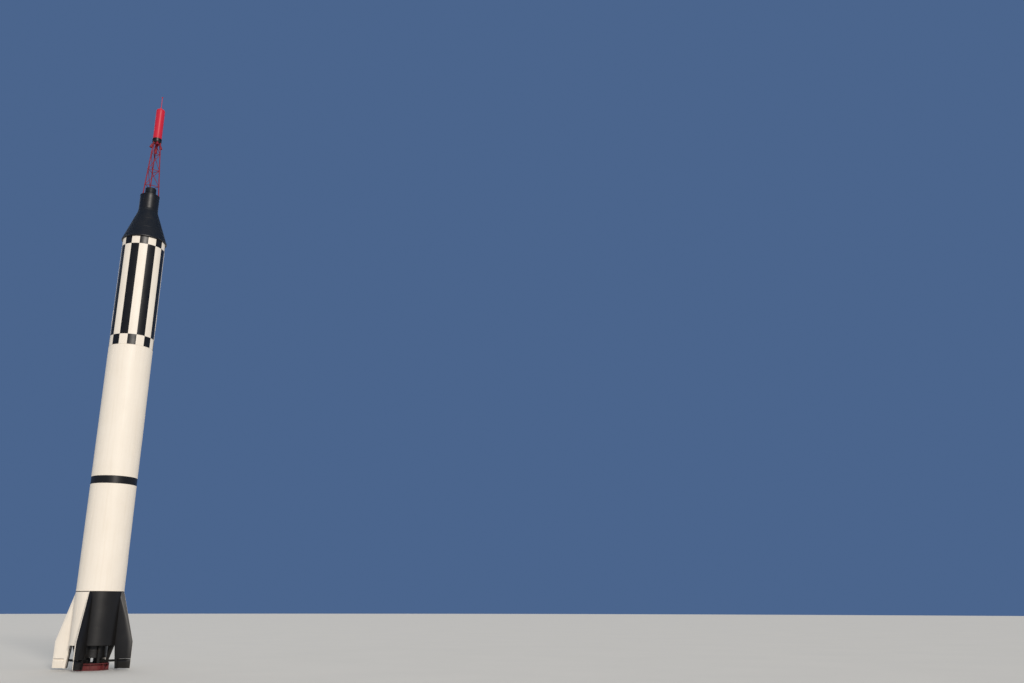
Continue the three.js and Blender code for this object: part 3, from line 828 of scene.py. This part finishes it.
def cone_wall():
    """The cabin's wall: rows of beaded shingles outside, a plain cone inside, closed at both ends."""
    beads = 96
    columns = 4
    bead_rise = 0.006
    joint_dip = 0.004
    sides = beads * columns
    joints = [CONE_BASE + 0.47, CONE_BASE + 0.94]
    heights = [CONE_BASE, CONE_BASE + 0.03]
    for joint in joints:
        heights += [joint + rise for rise in (-0.03, -0.012, 0, 0.012, 0.03)]
    heights += [CONE_TOP - 0.03, CONE_TOP]
    profile = [(cone_radius(height) - bead_rise, height) for height in heights]
    outer = turned("cone_outer", profile, sides, True, 0)
    edges = [CONE_BASE, CONE_TOP] + joints
    for point in outer.data.vertices:
        column = round(math.degrees(math.atan2(point.co.y, point.co.x)) / 360 * sides) % columns
        from_edge = min(abs(point.co.z - height) for height in edges)
        rise = 0.0
        if from_edge > 0.02 and column in (1, 2):
            rise = bead_rise * math.hypot(point.co.x, point.co.y) / CONE_RADIUS
        elif from_edge < NEAR and CONE_BASE + 0.01 < point.co.z < CONE_TOP - 0.01:
            rise = -joint_dip
        share = 1 + rise / math.hypot(point.co.x, point.co.y)
        point.co.x *= share
        point.co.y *= share
    profile = [(cone_radius(height) - CABIN_WALL, height) for height in (CONE_BASE, CONE_TOP)]
    inner = turned("cone_inner", profile, sides, True, 0)
    wall = joined("cone_wall", [outer, inner])
    edit(wall)
    bpy.ops.mesh.select_all(action="SELECT")
    bpy.ops.mesh.normals_make_consistent(inside=False)
    for end in (CONE_BASE, CONE_TOP):
        pick(wall, "EDGE", lambda co: abs(co.z - end) < NEAR)
        bpy.ops.mesh.bridge_edge_loops()
    bpy.ops.mesh.select_all(action="SELECT")
    bpy.ops.mesh.normals_make_consistent(inside=False)
    return done(wall, 0)


def cabin():
    wall = cone_wall()
    hatch = copy_of(wall, "hatch_body")
    hole = flank_block("hatch_hole", 0.290, 0.370, HATCH_HEIGHT, 0)
    plug = flank_block("hatch_plug", 0.284, 0.364, HATCH_HEIGHT, 0)
    pane_hole = flank_block("window_hole", 0.120, 0.150, WINDOW_HEIGHT, 90)
    cut(wall, hole)
    cut(wall, pane_hole)
    cut(hatch, plug, "INTERSECT")
    wall.name = "cabin_body"
    # Shingles outside, instrument grey on the faces that look at the axis
    for piece, body, node in ((wall, "rocket", "cabin_shell"), (hatch, "hatch", "cabin_hatch")):
        finish(done(piece, 30), ["shingle", "panel"], body, [node])
        paint_faces(piece, lambda co, normal: co.xy.dot(normal.xy) < -0.7 * co.xy.length)
    hatch_bolts()

    dressed_node("cabin_window", 0.001, "glass", name="window_pane")
    sash = flank_block("window_frame", 0.119, 0.149, WINDOW_HEIGHT, 90, 0.012)
    opening = flank_block("window_light", 0.095, 0.125, WINDOW_HEIGHT, 90, 0.05)
    inward = Vector((0, -math.cos(CONE_ANGLE), -math.sin(CONE_ANGLE)))
    sash.data.transform(Matrix.Translation(inward * 0.010))
    cut(sash, opening)
    ease_edges(sash, 0.002)
    finish(done(sash), "plate")


def hatch_bolts():
    """Round heads along the hatch's four edges, each square to the flank."""
    half_width, half_height = 0.266, 0.346
    across, up = 12, 16
    spots = [(-half_width + 2 * half_width * i / across, end)
             for i in range(across + 1) for end in (-half_height, half_height)]
    spots += [(end, -half_height + 2 * half_height * i / up)
              for i in range(1, up) for end in (-half_width, half_width)]
    head = outward_head("hatch_bolt", 10, 0.008, -0.004, 0.004, 0.002, 0.0012)
    head.data.transform(Matrix.Rotation(-CONE_ANGLE, 4, "Y"))
    places = []
    for aside, rise in spots:
        # The hatch's edges are straight cuts, so a row dips where the flank curves away
        spot = HATCH_HEIGHT
        for _ in range(5):
            lag = cone_radius(HATCH_HEIGHT) - math.sqrt(cone_radius(spot) ** 2 - aside ** 2)
            spot = HATCH_HEIGHT + (rise - lag * math.sin(CONE_ANGLE)) / math.cos(CONE_ANGLE)
        around = math.degrees(math.asin(aside / cone_radius(spot)))
        places.append(about_axis(around) @ Matrix.Translation((cone_radius(spot) - 0.0045, 0, spot)))
    finish(set_out("hatch_bolts", head, places), "plate", "hatch")


def recovery():
    """Skirt, recovery section with its seam strips and studs, and antenna canister."""
    waist = RECOVERY_RADIUS - 0.003
    skirt = above(CONE_TOP, [
        (CONE_TOP_RADIUS - 0.004, GAP), (CONE_TOP_RADIUS, 0.006),
        (0.420, 0.048), (0.416, 0.053), (0.419, 0.060),
    ])
    skirt += above(SKIRT_TOP, [(RECOVERY_RADIUS, -0.004), (waist, 0)])
    round_piece("skirt_body", skirt, 128, "shingle", "recovery_skirt")
    middle = (SKIRT_TOP + RECOVERY_TOP) / 2
    section = above(SKIRT_TOP, [(waist, GAP), (RECOVERY_RADIUS, 0.004)])
    section += groove(RECOVERY_RADIUS, middle - 0.005, middle + 0.005, 0.003, 0.003)
    section += above(RECOVERY_TOP, [(RECOVERY_RADIUS, -0.005), (0.408, 0)])
    round_piece("recovery_body", section, 128, "plate", "recovery_section")
    strips = []
    for start, low, high in ((0, SKIRT_TOP, middle), (15, middle, RECOVERY_TOP)):
        bottom, top = low + 0.01, high - 0.01
        strip = block("seam_strip", (0.405, -0.010, bottom), (0.4135, 0.010, top))
        ease_edges(strip, 0.001, 1)
        strips.append(array_round(turn(strip, start), 12))
    finish(done(joined("recovery_seams", strips)), "plate")
    rows = [SKIRT_TOP + 0.03, middle - 0.03, middle + 0.03, RECOVERY_TOP - 0.03]
    stud_rows("recovery_studs", RECOVERY_RADIUS, rows, 72, size=0.004, proud=0.002, paint="plate")
    stud_rows("shield_studs", SHIELD_RADIUS, [ADAPTER_TOP + 0.045], 96, proud=0.002, paint="plate")

    canister = above(RECOVERY_TOP, [
        (0.244, GAP), (0.247, 0.004), (0.247, 0.046), (0.243, 0.050), (CANISTER_RADIUS, 0.0505),
    ])
    canister += groove(CANISTER_RADIUS, RECOVERY_TOP + 0.17, RECOVERY_TOP + 0.19, 0.004, 0.004)
    canister += above(CANISTER_TOP, [(CANISTER_RADIUS, -0.030), (0.228, -0.012), (0.210, 0)])
    round_piece("canister_body", canister, 96, "shingle", "antenna_canister")


def capsule():
    dish = above(ADAPTER_TOP, [(0.886, 0), (0.925, 0.010), (0.944, 0.024), (SHIELD_RADIUS, 0.030)])
    dish += above(CONE_BASE, [(SHIELD_RADIUS, -0.022), (0.944, -0.018), (CONE_RADIUS, -GAP)])
    round_piece("heat_shield_body", dish, 160, "plate", "heat_shield")
    cabin()
    recovery()
    interior()


# Inside the cabin
def swell(pad, low, high, seams):
    """Fills a pad as cloth. It is held where it rests, along its top edge and at its sewn seams."""
    held = []
    for point in pad.data.vertices:
        aside = min(point.co.x - low.x, high.x - point.co.x, point.co.y - low.y, high.y - point.co.y)
        on_top = high.z - point.co.z < PAD_EDGE
        if on_top and aside > PAD_EDGE and min(abs(point.co.x - seam) for seam in seams) < SEAM_WIDTH / 2:
            point.co.z -= SEAM_DEPTH
            held.append(point.index)
        elif point.co.z - low.z < PAD_EDGE or (on_top and aside < PAD_EDGE):
            held.append(point.index)
    pad.vertex_groups.new(name="sewn").add(held, 1.0, "REPLACE")
    before = [point.co.copy() for point in pad.data.vertices]
    cloth = pad.modifiers.new("cloth", "CLOTH")
    cloth.settings.use_pressure = True
    cloth.settings.uniform_pressure_force = PAD_PRESSURE
    cloth.settings.shrink_min = -PAD_SLACK
    cloth.settings.effector_weights.gravity = 0
    cloth.settings.vertex_group_mass = "sewn"
    for frame_number in range(1, PAD_FRAMES + 1):
        bpy.context.scene.frame_set(frame_number)
    take(pad)
    bpy.ops.object.modifier_apply(modifier=cloth.name)
    bpy.context.scene.frame_set(1)
    pad.vertex_groups.clear()
    for point, place in zip(pad.data.vertices, before):
        move = point.co - place
        if move.length > 1e-6:
            point.co = place + move.normalized() * PAD_SWELL * math.tanh(move.length / PAD_SWELL)


def piping(low, high):
    """A cord along a pad's top edge."""
    middle = (low + high) / 2
    clear_selection()
    bpy.ops.mesh.primitive_plane_add(size=1, location=(middle.x, middle.y, high.z - PIPING / 2))
    loop = settle("piping")
    edit(loop)
    bpy.ops.mesh.select_all(action="SELECT")
    size = (high.x - low.x - PIPING, high.y - low.y - PIPING, 1)
    bpy.ops.transform.resize(value=size, center_override=middle)
    bpy.ops.mesh.bevel(offset=PAD_CORNER, segments=5, affect="VERTICES")
    bpy.ops.mesh.select_all(action="SELECT")
    bpy.ops.mesh.delete(type="ONLY_FACE")
    leave_edit()
    bpy.ops.object.convert(target="CURVE")
    bpy.context.object.data.bevel_depth = PIPING
    bpy.context.object.data.bevel_resolution = 2
    bpy.ops.object.convert(target="MESH")
    return bpy.context.object


def couch_pad(low, high, channels, raised=0.0):
    """A boxed cushion with round corners, sewn channels and piping. Its foot end may rise as a wedge."""
    low, high = Vector(low), Vector(high)
    middle = (low.z + high.z) / 2
    pad = block("pad", low, high)
    edit(pad)
    pick(pad, "EDGE", lambda co: abs(co.z - middle) < NEAR)
    bpy.ops.mesh.bevel(offset=PAD_CORNER, segments=5)
    leave_edit()
    modify(pad, "REMESH", mode="VOXEL", voxel_size=PAD_VOXEL)
    swell(pad, low, high, [low.x + (high.x - low.x) * step / channels for step in range(1, channels)])
    modify(pad, "SUBSURF", levels=1, render_levels=1)
    cushion = joined("cushion", [pad, piping(low, high)])
    for point in cushion.data.vertices:
        share = min(1, (point.co.z - low.z) / (high.z - low.z))
        point.co.z += raised * share * (high.y - point.co.y) / (high.y - low.y)
    return cushion


def interior():
    """Couch cushions and an instrument board, seen through the window and the hatch opening."""
    floor = CONE_BASE + 0.001
    seat = floor + 0.094
    cushions = [
        # low corner, high corner, channels, rise of the foot end
        couch_pad((-0.238, -0.148, floor), (0.238, 0.286, seat), 6),
        couch_pad((-0.238, 0.301, floor), (0.238, 0.488, seat), 6),
        couch_pad((-0.138, 0.318, seat + 0.006), (0.138, 0.486, seat + 0.044), 3),
        couch_pad((-0.218, -0.412, floor), (0.218, -0.164, seat), 5, 0.20),
        couch_pad((-0.218, -0.628, floor), (0.218, -0.427, seat + 0.138), 5),
    ]
    couch = done(joined("couch_cushions", cushions), 60)
    finish(couch, "cloth", stands_for=["cabin_couch"])

    dressed_node("instrument_panel", 0.004, "panel", name="panel_board")
    dials = []
    under = BASE + 18.24
    for column in range(5):
        for row in range(3):
            spot = (-0.2 + column * 0.1, -0.18 + row * 0.11, under - 0.003)
            dial = cylinder("dial", 24, 0.036, 0.010, spot)
            edit(dial)
            pick(dial, "FACE", lambda co: co.z < under - 0.007)
            bpy.ops.mesh.inset(thickness=0.006)
            bpy.ops.mesh.inset(thickness=0.001, depth=-0.004)
            dials.append(done(dial, 30))
    finish(joined("panel_dials", dials), "dial")


# Escape tower
def leg_point(angle, height):
    share = (height - RECOVERY_TOP) / (TOWER_TOP - RECOVERY_TOP)
    radius = TOWER_FOOT_RADIUS + share * (TOWER_HEAD_RADIUS - TOWER_FOOT_RADIUS)
    spot = math.radians(angle)
    return Vector((radius * math.cos(spot), radius * math.sin(spot), height))


def lattice(foot):
    """Three legs with shoes, joined by level bars and slanting braces, with a collar at each joint."""
    levels = [BASE + rise for rise in (19.91, 20.71, 21.56, 22.09)]
    bars = []
    for angle in (0, 120, 240):
        following = (angle + 120) % 360
        bars.append(bar("leg", leg_point(angle, foot), leg_point(angle, TOWER_TOP), LEG_RADIUS, 20))
        shoe = turned("shoe", [(0.040, 0), (0.040, 0.006), (0.030, 0.0065), (0.028, 0.05)], 20)
        shoe.data.transform(Matrix.Translation(leg_point(angle, foot)))
        bars.append(shoe)
        for bay, level in enumerate(levels):
            across = leg_point(following, level)
            bars.append(bar("level_bar", leg_point(angle, level), across, BRACE_RADIUS, 14))
            low, high = leg_point(angle, level - 0.028), leg_point(angle, level + 0.028)
            bars.append(bar("collar", low, high, LEG_RADIUS + 0.005, 20))
            if bay:
                bars.append(bar("brace", leg_point(angle, levels[bay - 1]), across, BRACE_RADIUS, 14))
    finish(done(joined("lattice_body", bars)), "tower", stands_for=["tower_lattice"])


def escape_nozzle(number, angle):
    """One of the three nozzles that splay out from under the motor."""
    splay = 19
    bell = [(0.066, -0.205), (0.067, -0.195), (0.058, -0.13), (0.048, -0.06), (0.038, 0)]
    lip = [(0.060, -0.205), (0.070, -0.203), (0.070, -0.192), (0.062, -0.190)]
    nozzle = joined(f"escape_nozzle_{number}_body", [
        thicken(turned("bell", bell, 40, open_ends=True), 0.010),
        thicken(turned("bell_lip", lip, 40, open_ends=True), 0.008),
    ])
    nozzle.data.transform(Matrix.Rotation(math.radians(-splay), 4, "Y"))
    nozzle.data.transform(Matrix.Translation((0.191, 0, TOWER_TOP - 0.015)))
    turn(nozzle, angle)
    finish(done(nozzle, 40), "tower", stands_for=[f"escape_nozzle_{number}"])


def tower():
    ring_top = RECOVERY_TOP + 0.045
    rim = CLAMP_RADIUS - 0.004
    profile = above(RECOVERY_TOP, [(rim, GAP), (CLAMP_RADIUS, 0.004)])
    profile += groove(CLAMP_RADIUS, RECOVERY_TOP + 0.016, RECOVERY_TOP + 0.030, 0.004, 0.004)
    profile += above(ring_top, [(CLAMP_RADIUS, -0.004), (rim, 0)])
    clamp = open_middle(turned("clamp_ring_body", profile, 96), 0.074)
    finish(clamp, "plate", stands_for=["tower_clamp_ring"])
    lattice(ring_top + GAP)

    jettison = above(TOWER_TOP, [(0.030, -0.56), (0.036, -0.555), (0.060, -0.50), (JETTISON_RADIUS, -0.49)])
    jettison += groove(JETTISON_RADIUS, TOWER_TOP - 0.30, TOWER_TOP - 0.28, 0.004, 0.004)
    jettison += [(JETTISON_RADIUS, TOWER_TOP - GAP)]
    round_piece("jettison_body", jettison, 48, "tower", "jettison_motor")
    nozzle_block = above(TOWER_TOP, [(0.181, GAP), (0.203, 0.045), (BLOCK_RADIUS, 0.052)])
    nozzle_block += groove(BLOCK_RADIUS, TOWER_TOP + 0.120, TOWER_TOP + 0.140, 0.007, 0.003)
    nozzle_block += above(MOTOR_BOTTOM, [(BLOCK_RADIUS, -0.004), (0.201, -GAP)])
    round_piece("nozzle_block_body", nozzle_block, 64, "black", "nozzle_block")
    for number, angle in ((1, 60), (2, 180), (3, 300)):
        escape_nozzle(number, angle)

    motor = above(MOTOR_BOTTOM, [(MOTOR_RADIUS - 0.003, 0), (MOTOR_RADIUS, 0.004)])
    motor += groove(MOTOR_RADIUS, MOTOR_BOTTOM + 0.05, MOTOR_BOTTOM + 0.062, 0.003, 0.003)
    motor += groove(MOTOR_RADIUS, MOTOR_TOP - 0.105, MOTOR_TOP - 0.093, 0.003, 0.003)
    motor += above(MOTOR_TOP, [(MOTOR_RADIUS, -0.070), (0.185, -0.045), (0.170, -0.018), (0.141, 0)])
    round_piece("motor_body", motor, 96, "motor", "escape_motor")
    rows = [MOTOR_BOTTOM + 0.03, MOTOR_TOP - 0.082]
    stud_rows("motor_studs", MOTOR_RADIUS, rows, 30, proud=0.002, paint="motor")
    spike = above(MOTOR_TOP, [
        (0.098, GAP), (0.100, 0.006), (0.070, 0.045), (0.045, 0.080), (0.030, 0.110), (0.013, 0.150),
    ])
    spike += above(SPIKE_TOP, [
        (0.013, -0.013), (0.038, -0.012), (0.040, -0.010), (0.040, -0.003), (0.037, 0),
    ])
    round_piece("spike_body", spike, 40, "motor", "nose_spike")


# Studio
def room():
    """A soft even light from all round, and a plain blue-grey backdrop that gloss reflects."""
    world = bpy.data.worlds.new("studio")
    world.use_nodes = True
    tree = world.node_tree
    light = tree.nodes["Background"]
    light.inputs["Color"].default_value = ROOM_COLOR
    light.inputs["Strength"].default_value = ROOM_LIGHT
    backdrop = tree.nodes.new("ShaderNodeBackground")
    backdrop.inputs["Color"].default_value = BACKDROP_COLOR
    mix = tree.nodes.new("ShaderNodeMixShader")
    ray = tree.nodes.new("ShaderNodeLightPath")
    tree.links.new(ray.outputs["Is Diffuse Ray"], mix.inputs["Fac"])
    tree.links.new(backdrop.outputs[0], mix.inputs[1])
    tree.links.new(light.outputs[0], mix.inputs[2])
    tree.links.new(mix.outputs[0], tree.nodes["World Output"].inputs["Surface"])
    bpy.context.scene.world = world
    bpy.context.scene.view_settings.view_transform = "Standard"


def sun(name, azimuth, elevation, energy, color, spread):
    data = bpy.data.lights.new(name, "SUN")
    data.energy = energy
    data.color = color
    data.angle = math.radians(spread)
    lamp = bpy.data.objects.new(name, data)
    level = math.cos(math.radians(elevation))
    where = Vector((
        math.cos(math.radians(azimuth)) * level,
        math.sin(math.radians(azimuth)) * level,
        math.sin(math.radians(elevation)),
    ))
    lamp.rotation_euler = where.to_track_quat("Z", "Y").to_euler()
    bpy.context.scene.collection.objects.link(lamp)
    return lamp


def studio():
    clear_selection()
    bpy.ops.mesh.primitive_circle_add(vertices=256, radius=300, fill_type="NGON")
    floor = settle("floor")
    ground = Paint("pale floor", (0.62, 0.60, 0.57), 0.9, Specular_IOR_Level=0.2)
    ground.stain(ground.noise(0.25, 4), (0.58, 0.565, 0.54), 0.5)
    floor.data.materials.append(ground.material)
    room()
    sun("key", -61, 23, 2.03, (1.0, 0.93, 0.84), 10)
    sun("back_fill", 119, 40, 0.5, (0.92, 0.96, 1.0), 60)
    side_fill = sun("side_fill", -128, 15, 0.30, (1.0, 0.97, 0.94), 60)
    side_fill.visible_glossy = False


camera()
booster_body()
booster_trim()
tail_unit()
fin_set()
engine()
stand()
capsule()
tower()
closed_engine()
studio()
